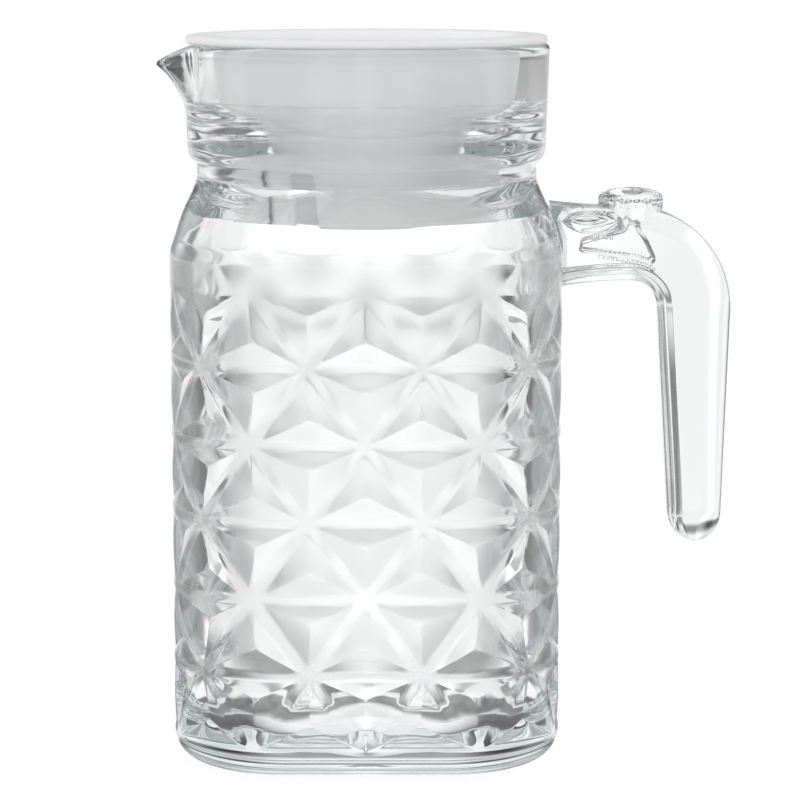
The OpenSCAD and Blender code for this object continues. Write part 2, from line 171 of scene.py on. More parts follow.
# The board's glow, white for the camera and the painted studio surround in glass: its share beside the light
# that falls on the board, and its strength
BOARD_SHARE = 0.75
BOARD_STRENGTH = 1.13
# Half the board's side and how far it lies under the jug, in metres
BOARD_HALF = 20
BOARD_DROP = 0.0003
# The camera of the photograph: place in metres, pitch down in degrees, lens and sensor in mm
CAMERA_PLACE = (0.0066, -0.714, 0.1667)
CAMERA_PITCH = 7.79
CAMERA_LENS = 162
CAMERA_SENSOR = 36
# A weak softbox above the front left: watts, side and place in metres, tilt and turn in degrees
SOFTBOX_POWER = 1
SOFTBOX_SIDE = 0.6
SOFTBOX_PLACE = (-0.5, -0.5, 0.9)
SOFTBOX_TILT = 40
SOFTBOX_TURN = -45
# How often light may bend or bounce
BOUNCES = 32

# Where the inner skin of a flat side gets clear towards a corner, as shares of the corner's radius
CLEAR_CORNER = (0.38, 0.52)
# Half the height over which it gets clear at the shoulder
CLEAR_SHOULDER = 3 * MM
# Height over the floor at which it is fully hazy, as a share of the inner foot's radius
HAZY_FOOT = 2.2


def length(name, millimetres):
    """A length property whose default is given in millimetres."""
    return FloatProperty(name=name, default=millimetres * MM, unit="LENGTH", precision=5)


def share(name, default):
    """A property between 0 and 1."""
    return FloatProperty(name=name, default=default, min=0, max=1, subtype="FACTOR")


class JugBodySizes(PropertyGroup):
    half: length("Half the width of the body across its flat sides, under the shoulder", jug_high[1] / MM)
    corner: length("Radius of the four upright corners", 23)
    draft: length("How much further in each side stands at the foot", 0.45)
    shoulder_z: length("Height of the start of the shoulder", 100.5)
    wall: length("Thickness of the body's walls", 4)
    floor_t: length("Thickness of the glass floor", 8)
    foot_h: length("Height of the rounded bottom edge", 5.8)
    foot_in: length("How far the bottom edge draws in", 6.5)
    foot_ring: length("Width of the flat ring that the jug stands on", 4)
    push_up: length("Height of the hollow under the base", 2)
    inner_foot: length("Radius between the floor and the walls inside", 7)
    lattice_top: length("Height of the uppermost line of stars", 94.9)
    rows: IntProperty(name="Rows of triangles in the lattice", default=6, min=1)
    columns: IntProperty(name="Stars round the body on each line", default=12, min=4)
    pit: length("Depth of a triangle's pit below the ribs", 1.6)
    rib_flat: length("Half width of the flat crest of a rib", 0.3)
    rib_round: length("Distance from a rib's middle at which its rounding ends", 1.3)


class JugNeckSizes(PropertyGroup):
    neck: length("Outer radius of the neck", 33.65)
    neck_z: length("Height of the top of the shoulder", 113.3)
    fillet: length("Radius of the shoulder's ends, seen from the front", 8)
    fold: share("Share of the shoulder's draw-in that the inside follows up to its fold", 0.38)
    bore: length("Inner radius of the neck", 27.35)
    collar_z: length("Height of the crease under the collar", 117)
    collar_edge: length("Height of the collar's rounded lower edge", 3)
    collar_low: length("Outer radius of the collar above its lower edge", 35.5)
    collar_high: length("Outer radius of the collar at the rim", 36.2)
    collar_bore: length("Inner radius of the collar", 33)
    funnel: length("Height over which the inside draws in from the collar to the neck", 11)
    rim_round: length("Radius of the rim's edges", 1.1)
    lip_wall: length("Thickness of the glass at the tip of the lip", 1.9)
    lip_drop: length("How far the tip of the lip lies below the rim", 3.2)
    lip_h: length("Height of the lip where it leaves the collar", 13.8)
    lip_half_w: length("Half the width of the lip where it leaves the rim", 11.5)


class JugHandleSizes(PropertyGroup):
    bend_x: length("Distance from the axis to the centre of the bend", 52.4)
    bend_z: length("Height of the centre of the bend", 88)
    bend_r: length("Radius of the bend on the side of the fingers", 5.3)
    arm_h: length("Height of the arm that leaves the body", 14.6)
    end_h: length("Thickness of the grip at its lower end", 10.6)
    half_w: length("Half the width of the handle, side to side", 6.5)
    flare: length("Extra width and height of the arm at its root", 3)
    lean: length("How far the grip's lower end leans out", 2.5)
    end_z: length("Height of the grip's lower end above the table", 41)
    tip: length("Length of the rounded end of the grip", 6)
    chamfer: length("Width of the chamfer along the inner side of the grip", 2.8)
    panel: length("Depth of the sunk panel on each side of the arm", 0.9)
    eye_l: length("Length of the eye-shaped dimple", 11.4)
    eye_h: length("Height of the eye-shaped dimple", 5)
    knob_r: length("Radius of the thumb knob", 6.4)
    knob_h: length("Height of the knob above the arm", 3.8)
    knob_wall: share("Share of the knob's height that its wall takes", 0.45)
    beads: IntProperty(name="Number of beads round the knob", default=24, min=3)
    bead_in: length("Depth of the grooves between the beads", 0.5)


class JugLidSizes(PropertyGroup):
    cup_low: length("Outer radius of the cup at its floor", 26.95)
    cup_high: length("Outer radius of the cup under the flange", 30.6)
    skirt_low: length("Outer radius of the skirt's lower edge", 26.15)
    skirt_z: length("Height of the skirt's lower edge", 105)
    floor_z: length("Height of the floor of the cup", 121.9)
    flange: length("Outer radius of the flange", 35.7)
    flange_z: length("Height of the flange's underside", 140.2)
    wall: length("Thickness of the lid's walls and floor", 1.4)
    edge: length("Radius of the lid's edges", 0.5)
    slot_w: length("Width of the pouring slot in the skirt", 4.7)
    slot_h: length("Height of the pouring slot", 11)
    slot_turn: FloatProperty(
        name="Turn of the slot from the front towards the lip", default=math.radians(25), subtype="ANGLE")
    tongue_w: length("Width of the spring tongue beside the slot", 6)
    slit_w: length("Width of the slit that frees the tongue", 0.6)
    bead: length("How far the tongue's bead stands out", 0.25)


class JugLooks(PropertyGroup):
    glass_tint: StringProperty(name="Tint of thick glass, as an sRGB hex value", default="#C6D6D7")
    tint_density: FloatProperty(name="Strength of the tint in each metre of glass", default=8, min=0)
    haze: share("Roughness of the inner skin of the flat sides", 0.28)
    lid_colour: StringProperty(name="Colour of the plastic, as an sRGB hex value", default="#F5F6FA")
    lid_roughness: share("Roughness of the milky plastic", 0.38)


def srgb(code):
    """A linear RGBA colour from an sRGB hex value."""
    parts = [int(code[i:i + 2], 16) / 255 for i in (1, 3, 5)]
    linear = [c / 12.92 if c <= 0.04045 else ((c + 0.055) / 1.055) ** 2.4 for c in parts]
    return (*linear, 1.0)


def add(tree, kind, inputs=(), **settings):
    """Adds a node with its settings and inputs: values, sockets, or nodes that give their first output."""
    node = tree.nodes.new("ShaderNode" + kind)
    for key, value in settings.items():
        setattr(node, key, value)
    for key, value in dict(inputs).items():
        if isinstance(value, bpy.types.Node):
            value = value.outputs[0]
        if isinstance(value, bpy.types.NodeSocket):
            tree.links.new(value, node.inputs[key])
        else:
            node.inputs[key].default_value = value
    return node


def empty_tree(owner):
    """The node tree of a new material or world, without the nodes that it starts with."""
    owner.use_nodes = True
    owner.node_tree.nodes.clear()
    return owner.node_tree


def dress(thing, sharp, material):
    """Gives a finished mesh its sharp edges and its one material."""
    thing.data.set_sharp_from_angle(angle=math.radians(sharp))
    thing.data.materials.clear()
    thing.data.materials.append(material)


def ring_faces(count, rings, start=0):
    """Quads between rings of equal count that follow one another from a first point."""
    faces = []
    for k in range(rings - 1):
        low, high = start + k * count, start + (k + 1) * count
        for i in range(count):
            j = (i + 1) % count
            faces.append((low + i, low + j, high + j, high + i))
    return faces


def end_faces(count, low, first, high, last):
    """Triangles that close a stack of rings at both ends, each round a point."""
    faces = []
    for i in range(count):
        j = (i + 1) % count
        faces.append((low, first + j, first + i))
        faces.append((high, last + i, last + j))
    return faces


def linked_object(name, mesh):
    """An object in the scene with smooth shading."""
    mesh.shade_smooth()
    thing = bpy.data.objects.new(name, mesh)
    bpy.context.scene.collection.objects.link(thing)
    return thing


def mesh_object(name, points, faces):
    """An object from points and faces, with doubles welded."""
    mesh = bpy.data.meshes.new(name)
    mesh.from_pydata([tuple(p) for p in points], [], faces)
    work = bmesh.new()
    work.from_mesh(mesh)
    bmesh.ops.remove_doubles(work, verts=work.verts, dist=0.002 * MM)
    bmesh.ops.recalc_face_normals(work, faces=work.faces)
    work.to_mesh(mesh)
    work.free()
    return linked_object(name, mesh)


def lathe_like(name, rings, low, high):
    """A closed object from rings of equal count, with a point at either end."""
    count = len(rings[0])
    points = [p for r in rings for p in r] + [low, high]
    faces = ring_faces(count, len(rings))
    faces += end_faces(count, len(points) - 2, 0, len(points) - 1, (len(rings) - 1) * count)
    return mesh_object(name, points, faces)


def combine(target, tool, operation):
    """Joins or cuts one closed mesh by another, and removes the tool."""
    step = target.modifiers.new("combine", "BOOLEAN")
    step.operation = operation
    step.solver = "MANIFOLD"
    step.object = tool
    graph = bpy.context.evaluated_depsgraph_get()
    result = bpy.data.meshes.new_from_object(target.evaluated_get(graph))
    target.modifiers.clear()
    old = target.data
    target.data = result
    bpy.data.meshes.remove(old)
    bpy.data.objects.remove(tool)


def rounded_square(turn, half, radius):
    """Places on a rounded square; turn is the share of the way round from the front towards +X."""
    turn, half, radius = np.broadcast_arrays(turn, half, radius)
    flat = half - radius
    quarter = 2 * flat + np.pi * radius / 2
    side = np.floor(turn * 4 + 0.5)
    along = (turn * 4 - side) * quarter
    bent = np.maximum(0, np.abs(along) - flat) / radius
    x = np.sign(along) * (np.minimum(np.abs(along), flat) + radius * np.sin(bent))
    y = -flat - radius * np.cos(bent)
    a = side * np.pi / 2
    return np.stack([x * np.cos(a) - y * np.sin(a), x * np.sin(a) + y * np.cos(a)], -1)


def at_height(places, z):
    """Adds a height to flat places."""
    z = np.broadcast_to(z, places.shape[:-1])
    return np.concatenate([places, z[..., None]], -1)


def smooth_step(x, low, high):
    """0 below low, 1 above high and an S-shaped rise between them."""
    t = np.clip((x - low) / (high - low), 0, 1)
    return t * t * (3 - 2 * t)


def quarter_turn(steps, first=0):
    """Angles of a quarter circle in even steps."""
    return [math.pi / 2 * k / steps for k in range(first, steps + 1)]


def rounded_path(corners, steps):
    """A path through (radius, height, fillet) corners, with each corner rounded by its fillet."""
    points = []
    for k, (r, z, fillet) in enumerate(corners):
        here = np.array((r, z))
        if fillet == 0 or k in (0, len(corners) - 1):
            points.append(here)
            continue
        before = np.array(corners[k - 1][:2]) - here
        after = np.array(corners[k + 1][:2]) - here
        before = before / np.linalg.norm(before)
        after = after / np.linalg.norm(after)
        between = math.acos(np.clip(before @ after, -1, 1))
        reach = fillet / math.tan(between / 2)
        middle = here + (before + after) / np.linalg.norm(before + after) * fillet / math.sin(between / 2)
        start = here + before * reach - middle
        end = here + after * reach - middle
        sweep = math.pi - between
        for t in np.linspace(0, 1, steps + 1):
            arm = (start * math.sin((1 - t) * sweep) + end * math.sin(t * sweep)) / math.sin(sweep)
            points.append(middle + arm)
    return points


def half_at(body, z):
    """Half the body's width at a height, with its draft."""
    return body.half - body.draft * (1 - z / body.shoulder_z)


def pit_profile(body, pitch):
    """Rings of a triangular pit: how close each is to the middle, and its share of the depth."""
    inradius = pitch / 3
    crest, slope_start = body.rib_flat, body.rib_round
    inward = np.array([0, crest, (crest * 2 + slope_start) / 3, (crest + slope_start * 2) / 3, slope_start,
                       (slope_start + inradius) / 2, inradius * PIT_LAST_RING])
    rounding = slope_start - crest
    depth = np.where(inward < slope_start, np.maximum(0, inward - crest) ** 2 / (2 * rounding),
                     inward - crest - rounding / 2)
    deepest = inradius - crest - rounding / 2
    return 1 - inward / inradius, depth / deepest


def pit_depth(body, pitch, z):
    """Depth of the pits at a height: full in the middle rows and shallower at both ends."""
    top_fade = smooth_step(z, body.lattice_top + TOP_FADE_ROWS[0] * pitch,
                           body.lattice_top + TOP_FADE_ROWS[1] * pitch)
    foot_fade = smooth_step(-z, -body.foot_h - pitch, -body.foot_h)
    return body.pit * ((1 - TOP_FADE * top_fade) * (1 - FOOT_FADE * foot_fade))


def lattice_patch(body):
    """Triangles with pits: three flat facets fall from rounded ribs to the middle of each triangle."""
    pitch = (body.lattice_top - body.foot_h) / body.rows
    draw, depth = pit_profile(body, pitch)
    around = 3 * COLUMN_STEPS
    depth = np.append(np.repeat(depth, around), PIT_MIDDLE)
    edge = (np.arange(COLUMN_STEPS) / COLUMN_STEPS)[:, None]
    points, faces = [], []
    for row in range(body.rows):
        shift = (row % 2) / 2
        for k in range(body.columns):
            low = np.array((k + shift, row))
            beside = low + (1, 0)
            up = np.array((k + shift + 0.5, row + 1))
            for triangle in ((low, up, beside), (up, up + (1, 0), beside)):
                rim = np.concatenate([a * (1 - edge) + b * edge
                                      for a, b in zip(triangle, triangle[1:] + triangle[:1])])
                middle = sum(triangle) / 3
                at = middle + (rim - middle) * draw[:, None, None]
                at = np.concatenate([at.reshape(-1, 2), middle[None]])
                z = body.foot_h + at[:, 1] * pitch
                sunk = depth * pit_depth(body, pitch, z)
                places = rounded_square((at[:, 0] / body.columns) % 1, half_at(body, z) - sunk,
                                        body.corner - sunk)
                start = len(points)
                points.extend(at_height(places, z))
                faces += pit_faces(around, len(draw), start)
    return points, faces


def pit_faces(around, rings, start):
    """Faces of one pit, wound the other way round, with a fan to its middle."""
    faces = [(a, d, c, b) for a, b, c, d in ring_faces(around, rings, start)]
    last = start + (rings - 1) * around
    middle = last + around
    return faces + [(last + i, middle, last + (i + 1) % around) for i in range(around)]


def ring(body, half, radius, z, crowding=0):
    """One ring of the jug's skin on a rounded square. Its points can crowd together at the lip."""
    count = body.columns * COLUMN_STEPS
    from_lip = (np.arange(count) / count - LIP_TURN) * 2 * np.pi
    turns = LIP_TURN + (from_lip - crowding * np.sin(from_lip)) / (2 * np.pi)
    return at_height(rounded_square(turns % 1, half, radius), z)


def revolve(body, path, crowding=CROWDING):
    """Round rings along a path of (radius, height)."""
    return [ring(body, r, r, z, crowding) for r, z in path]


def pour_lip(neck, reach, points, inside):
    """Presses the lip out of the collar's rings: a pointed beak towards -X."""
    x, y, z = -points[:, 0], points[:, 1], points[:, 2]
    tip_round = 0.8 * MM
    off = np.sqrt(y * y + tip_round * tip_round) - tip_round
    tip = reach - (neck.lip_wall if inside else 0)
    flat_r = neck.collar_bore if inside else neck.collar_high
    half_w = neck.lip_half_w - (neck.lip_wall / 2 if inside else 0)
    root_x = math.sqrt(flat_r ** 2 - half_w ** 2)
    beak = tip - (tip - root_x) * off / half_w
    plain = np.sqrt(np.maximum(flat_r ** 2 - y * y, 0))
    # The beak blends into the collar, a little beyond the lip's own width
    blend = 0.35 * MM
    blend_w = 1.15 * half_w
    least = 0.01 * MM
    gap = np.where(np.abs(y) < blend_w, beak - plain, -flat_r)
    push = (gap + np.sqrt(gap * gap + blend * blend)) / 2 * (x > 0)
    push = push * (push > least)
    full_rise = neck.lip_h - 1.2 * neck.rim_round
    rise = np.clip((z - (rim_z - neck.lip_h)) / full_rise, 0, 1) ** LIP_RISE
    moved = points.copy()
    moved[:, 0] -= push * rise
    moved[:, 2] -= neck.lip_drop * push / (tip - flat_r) * rise ** LIP_DIP
    return moved


def foot_rings(body):
    """The hollow under the base, the flat ring round it and the rounded bottom edge."""
    foot_half = half_at(body, body.foot_h)
    least_corner = body.foot_ring / 2
    profile = [((body.foot_in + body.foot_ring) * draw, body.push_up * up) for draw, up in HOLLOW]
    profile.append((body.foot_in + body.foot_ring / 2, 0))
    profile += [(body.foot_in * (1 - math.cos(a)), body.foot_h * (1 - math.sin(a)))
                for a in reversed(quarter_turn(FOOT_STEPS))]
    return [ring(body, foot_half - draw, max(body.corner - draw, least_corner), z) for draw, z in profile]


def square_to_round(body, path, half, corner, neck_r):
    """Rings along a path of (radius, height) between a rounded square and a round neck."""
    return [ring(body, r, neck_r + (corner - neck_r) * (r - neck_r) / (half - neck_r), z) for r, z in path]


def shoulder_rings(body, neck, low):
    """Rings up the shoulder from a height on the plain band: a bulging slope with rounded ends."""
    half = half_at(body, low)
    bulge = neck.neck + (half - neck.neck) * BULGE
    path = rounded_path([(half, low, 0), (half, body.shoulder_z, neck.fillet),
                         (bulge, (body.shoulder_z + neck.neck_z) / 2, BULGE_ROUND * neck.fillet),
                         (neck.neck, neck.neck_z, neck.fillet), (neck.neck, neck.neck_z + NECK_STRAIGHT, 0)],
                        CORNER_STEPS)
    return square_to_round(body, path, half, body.corner, neck.neck)


def outside_rings(body, neck):
    """The outside over the lattice: plain band, shoulder, neck and the collar's rounded lower edge."""
    band_z = (body.lattice_top + body.shoulder_z) / 2
    band = [ring(body, half_at(body, z), body.corner, z)
            for z in np.linspace(body.lattice_top, band_z, BAND_RINGS)[:-1]]
    crease = revolve(body, [(neck.neck, neck.collar_z - UNDER_CREASE)], CROWDING / 2)
    step = neck.collar_low - neck.neck
    edge = [(neck.neck + step * math.sin(a), neck.collar_z + neck.collar_edge * (1 - math.cos(a)))
            for a in quarter_turn(CORNER_STEPS)]
    return band + shoulder_rings(body, neck, band_z) + crease + revolve(body, edge)


def collar_rings(body, neck):
    """The collar's outer wall and the rim down to its inner wall, as two stacks: outside and inside."""
    edge_z = neck.collar_z + neck.collar_edge
    wall_top = rim_z - 2 * neck.rim_round
    flare = (neck.collar_high - neck.collar_low) / (rim_z - edge_z)
    wall = [(neck.collar_low + flare * (z - edge_z), z)
            for z in np.linspace(edge_z, wall_top, COLLAR_RINGS)[1:]]
    crest = ((neck.collar_high + neck.collar_bore) / 2, rim_z, 0)
    outer_rim = [(neck.collar_high, wall_top, 0), (neck.collar_high, rim_z, neck.rim_round), crest]
    inner_rim = [crest, (neck.collar_bore, rim_z, neck.rim_round), (neck.collar_bore, wall_top, 0)]
    outer_rim, inner_rim = [rounded_path(corners, RIM_STEPS)[1:] for corners in (outer_rim, inner_rim)]
    return revolve(body, wall + outer_rim), revolve(body, inner_rim)


def funnel_rings(body, neck, low):
    """The collar's inner wall and the straight funnel to the neck, which ends near a height."""
    lead = 1 * MM
    bend = 5 * MM
    wall_z = np.linspace(rim_z - 2 * neck.rim_round, low + neck.funnel, WALL_RINGS)[1:]
    funnel = rounded_path([(neck.collar_bore, wall_z[-1], 0), (neck.collar_bore, wall_z[-1] - lead, bend),
                           (neck.bore, low + lead, bend), (neck.bore, low - lead, 0)], FOOT_STEPS)[1:]
    return revolve(body, [(neck.collar_bore, z) for z in wall_z] + funnel)


def inner_shoulder(body, neck):
    """Rings inside the shoulder from the top: the wall keeps its thickness up to a fold under the neck."""
    half = body.half - body.wall
    fold = half - (body.half - neck.neck) * neck.fold
    fold_drop = 1.7 * body.wall
    fold_round = 2 * MM
    top = neck.neck_z + 1 * MM
    mouth = 1.5 * MM
    path = rounded_path([(half, body.shoulder_z - 2 * body.wall, 0), (half, body.shoulder_z, neck.fillet),
                         (fold, neck.neck_z - fold_drop, fold_round),
                         (neck.bore, top - mouth, fold_round), (neck.bore, top, 0)], CORNER_STEPS)
    return square_to_round(body, path[::-1], half, body.corner - body.wall, neck.bore)


def inner_foot(body):
    """Rings down the inner walls and round the edge of the floor."""
    corner = body.corner - body.wall
    top_half = body.half - body.wall
    top_z = body.shoulder_z - 2 * body.wall
    floor_half = half_at(body, body.floor_t) - body.wall
    foot_z = body.floor_t + body.inner_foot
    rings = [ring(body, floor_half + (top_half - floor_half) * t, corner, foot_z + (top_z - foot_z) * t)
             for t in np.linspace(1, 0, WALL_RINGS)[1:-1]]
    for a in reversed(quarter_turn(CORNER_STEPS)):
        draw = body.inner_foot * (1 - math.sin(a))
        rings.append(ring(body, floor_half - draw, corner - draw,
                          body.floor_t + body.inner_foot * (1 - math.cos(a))))
    return rings


def glass_shell(body, neck, reach):
    """The jug without its handle: outside, rim and inside in one closed skin."""
    outer_collar, inner_rim = collar_rings(body, neck)
    funnel_low = neck.collar_z + neck.collar_edge / 3
    inner_collar = inner_rim + funnel_rings(body, neck, funnel_low)
    throat = revolve(body, [(neck.bore, (funnel_low + neck.neck_z) / 2)], CROWDING / 2)
    under = foot_rings(body)
    above = outside_rings(body, neck)
    above += [pour_lip(neck, reach, r, False) for r in outer_collar]
    above += [pour_lip(neck, reach, r, True) for r in inner_collar]
    above += throat + inner_shoulder(body, neck) + inner_foot(body)
    points, faces = lattice_patch(body)
    count = len(throat[0])
    first_under = len(points)
    for stack in (under, above):
        faces += ring_faces(count, len(stack), len(points))
        points += [p for r in stack for p in r]
    under_middle = len(points)
    points += [(0, 0, body.push_up), (0, 0, body.floor_t)]
    faces += end_faces(count, under_middle, first_under, under_middle + 1, under_middle - count)
    return mesh_object("jug_glass", points, faces)


def fill_flats(path, steps):
    """Adds points along the straight parts of a rounded path, so that its shading stays flat there."""
    out = []
    for k in range(len(path) - 1):
        out.append(path[k])
        if k % (steps + 1) == 0:
            out += [path[k] * (1 - t) + path[k + 1] * t for t in FLAT_POINTS]
    return np.array(out + [path[-1]])


def handle_section(handle, inner, outer, width, rounding):
    """One section of the handle: flat sides, a round outer side and a stepped chamfer on the inner side."""
    thick = np.linalg.norm(outer - inner)
    way = (outer - inner) / thick
    chamfer = min(handle.chamfer, thick / 4)
    half = handle.half_w * width
    corners = [(0, 0, 0)]
    corners += [(chamfer * deep, half * wide, half * fillet) for deep, wide, fillet in CHAMFER]
    corners += [(thick, half, rounding * min(half, thick - chamfer)), (thick, 0, 0)]
    side = fill_flats(rounded_path(corners, CORNER_STEPS), CORNER_STEPS)
    loop = np.concatenate([side, (side * (1, -1))[-2:0:-1]])
    at = inner + loop[:, :1] * way
    return np.stack([at[:, 0], loop[:, 1], at[:, 1]], -1)


def handle_stations(body, handle):
    """Inner place, outer place, width and rounding along the arm, the bend, the grip and its round tip."""
    root = body.half - body.wall / 2
    low = handle.bend_z + handle.bend_r
    stations = []
    for x in np.linspace(root, handle.bend_x, ARM_RINGS)[:-1]:
        along = (x - root) / (handle.bend_x - root)
        flare = handle.flare * (1 - along) ** 2
        stations.append((np.array((x, low - flare / 2)), np.array((x, low + handle.arm_h + flare / 4)),
                         1 + flare / (2 * handle.half_w), ROOT_ROUND + (GRIP_ROUND - ROOT_ROUND) * along))
    bend = np.array((handle.bend_x, handle.bend_z))
    for a in reversed(quarter_turn(BEND_STEPS)):
        way = np.array((math.cos(a), math.sin(a)))
        outer = bend + (handle.bend_r + handle.arm_h) * way
        stations.append((bend + handle.bend_r * way, outer, 1, GRIP_ROUND))
    inner_x = handle.bend_x + handle.bend_r
    outer_x = inner_x + handle.arm_h
    end_in = inner_x + handle.lean
    end_out = end_in + handle.end_h
    tip_z = handle.end_z + handle.tip
    for t in np.linspace(0, 1, GRIP_RINGS)[1:]:
        z = handle.bend_z + (tip_z - handle.bend_z) * t
        stations.append((np.array((inner_x + (end_in - inner_x) * t, z)),
                         np.array((outer_x + (end_out - outer_x) * t, z)),
                         1 - (1 - GRIP_END_WIDTH) * t, GRIP_ROUND))
    middle = end_in + handle.end_h / 2
    for a in quarter_turn(TIP_STEPS, 1)[:-1]:
        half = handle.end_h / 2 * math.cos(a)
        z = tip_z - handle.tip * math.sin(a)
        stations.append((np.array((middle - half, z)), np.array((middle + half, z)),
                         GRIP_END_WIDTH * math.cos(a) ** TIP_POWER, GRIP_ROUND))
    return stations, (middle, 0, handle.end_z)


def handle_mesh(body, handle):
    """The bare handle, from inside the body's wall to the grip's round tip."""
    stations, tip = handle_stations(body, handle)
    rings = [handle_section(handle, *station) for station in stations]
    return lathe_like("handle", rings, rings[0].mean(0), tip)


def thumb_knob(handle):
    """A low dome on an upright wall that is cut into beads."""
    around = 6 * handle.beads
    top = handle.bend_z + handle.bend_r + handle.arm_h
    wall_top = top + handle.knob_h * handle.knob_wall
    turn = np.arange(around) / around * 2 * np.pi
    groove = handle.bead_in / 2 * (1 - np.cos(turn * handle.beads))
    sunk = top - handle.arm_h / 4
    # Each level has its share of the radius, its height and its share of the groove, which fades on the dome
    swell = 1.2
    at_dome = 0.5
    dome_end = 0.5
    levels = [(1, sunk, 0), (1, top, 0)]
    levels += [(1, top + (wall_top - top) * t, math.sin(math.pi * t / swell))
               for t in np.linspace(0.1, 1, SLOPE_RINGS)]
    levels += [(math.cos(a), wall_top + (top + handle.knob_h - wall_top) * math.sin(a),
                at_dome * (1 - smooth_step(a, 0, dome_end))) for a in quarter_turn(DOME_STEPS, 1)[:-1]]
    rings = []
    for flat, z, deep in levels:
        r = (handle.knob_r - groove * deep) * flat
        rings.append(np.stack([handle.bend_x + r * np.cos(turn), r * np.sin(turn), np.full(around, z)], -1))
    return lathe_like("knob", rings, (handle.bend_x, 0, sunk), (handle.bend_x, 0, top + handle.knob_h))


def lens(centre, long, high, deep):
    """A pointed lens along X; deep is its depth as a share of its height."""
    centre = np.array(centre)
    sag = high / 2
    arc_r = ((long / 2) ** 2 + sag ** 2) / (2 * sag)
    sweep = math.asin(long / 2 / arc_r)
    turn = np.arange(LENS_POINTS) / LENS_POINTS * 2 * np.pi
    rings = []
    for a in np.linspace(-sweep, sweep, LENS_RINGS + 2)[1:-1]:
        r = arc_r * math.cos(a) - arc_r + sag
        along = np.full(LENS_POINTS, arc_r * math.sin(a))
        rings.append(centre + np.stack([along, r * deep * np.cos(turn), r * np.sin(turn)], -1))
    return lathe_like("lens", rings, centre - (long / 2, 0, 0), centre + (long / 2, 0, 0))


def carve_eye(grip, body, handle, side):
    """Cuts the eye into one side of the arm and leaves a smaller lens in it."""
    x = body.half + handle.eye_l / 2
    z = handle.bend_z + handle.bend_r + handle.arm_h - handle.eye_h / 2
    combine(grip, lens((x, side * handle.half_w, z), handle.eye_l, handle.eye_h, EYE_DEPTH), "DIFFERENCE")
    along, inward, up = PUPIL_PLACE
    long, high, deep = PUPIL_SIZE
    place = (x + along * MM, side * (handle.half_w - inward * MM), z + up * MM)
    combine(grip, lens(place, handle.eye_l * long, handle.eye_h * high, deep), "UNION")


def inset(outline, by):
    """The outline drawn in by a distance along its normals."""
    along = np.roll(outline, -1, 0) - np.roll(outline, 1, 0)
    along /= np.linalg.norm(along, axis=1)[:, None]
    area = (outline[:, 0] * np.roll(outline[:, 1], -1) - outline[:, 1] * np.roll(outline[:, 0], -1)).sum()
    side = np.sign(area)
    return outline + side * by * np.stack([-along[:, 1], along[:, 0]], -1)


def arm_place(body, handle, across, up):
    """A place on the arm's side from its shares across and up."""
    return (body.half + (handle.bend_x + handle.bend_r - body.half) * across,
            handle.bend_z + handle.bend_r + handle.arm_h * up)


def panel_cutter(body, handle, side):
    """The sunk panel between the eye and the bend, with a sloping wall."""
    corners = [(*arm_place(body, handle, across, up), fillet * MM) for across, up, fillet in PANEL]
    outline = np.array(rounded_path(corners, CORNER_STEPS)[:-1])
    far = handle.half_w + body.wall
    bottom = handle.half_w - handle.panel
    slope = 0.8 * MM
    wall = [(handle.half_w - handle.panel * (1 - math.cos(math.pi * t)) / 2, slope * t)
            for t in np.linspace(0, 1, SLOPE_RINGS)]
    rings = []
    for y, by in [(far, 0)] + wall:
        at = inset(outline, by)
        rings.append(np.stack([at[:, 0], np.full(len(at), side * y), at[:, 1]], -1))
    x, z = outline.mean(0)
    return lathe_like("panel", rings, (x, side * far, z), (x, side * bottom, z))


def bead_row(body, handle, side):
    """Small beads under the eye and along the panel's lower edge."""
    beads = bmesh.new()
    sunk = 0.05 * MM
    for count, radius, across, pitch, up, fall, bend in BEAD_ROWS:
        for k in range(count):
            x, z = arm_place(body, handle, across + pitch * k, up - fall * k - bend * k * k)
            spot = Matrix.Translation((x, side * (handle.half_w - sunk), z))
            bmesh.ops.create_icosphere(beads, subdivisions=2, radius=radius * MM, matrix=spot)
    mesh = bpy.data.meshes.new("beads")
    beads.to_mesh(mesh)
    beads.free()
    return linked_object("beads", mesh)


def skirt_cutter(lid, angle, width, height):
    """A box with rounded corners through the skirt on one side."""
    low = lid.skirt_z - lid.wall
    high = lid.skirt_z + height
    low_round = 0.3 * MM
    high_round = 0.6 * MM
    corners = [(0, low, 0), (width / 2, low, low_round), (width / 2, high, high_round), (0, high, 0)]
    half = rounded_path(corners, SKIRT_STEPS)
    outline = half + [np.array((-x, z)) for x, z in half[-2:0:-1]]
    rings = [np.array([(x, y, z) for x, z in outline]) for y in (-lid.cup_low - lid.wall, -lid.skirt_low / 2)]
    box = lathe_like("skirt_cutter", rings, rings[0].mean(0), rings[1].mean(0))
    box.data.transform(Matrix.Rotation(-angle, 4, "Z"))
    return box


def tongue_bead(lid, angle):
    """The low bead across the spring tongue, half sunk in the skirt."""
    z = lid.skirt_z + lid.slot_h / 3
    radius = lid.skirt_low + (lid.cup_low - lid.skirt_low) * (z - lid.skirt_z) / (lid.floor_z - lid.skirt_z)
    bead = lens((0, -radius, z), lid.tongue_w * 2 / 3, lid.wall, 2 * lid.bead / lid.wall)
    bead.data.transform(Matrix.Rotation(-angle, 4, "Z"))
    return bead


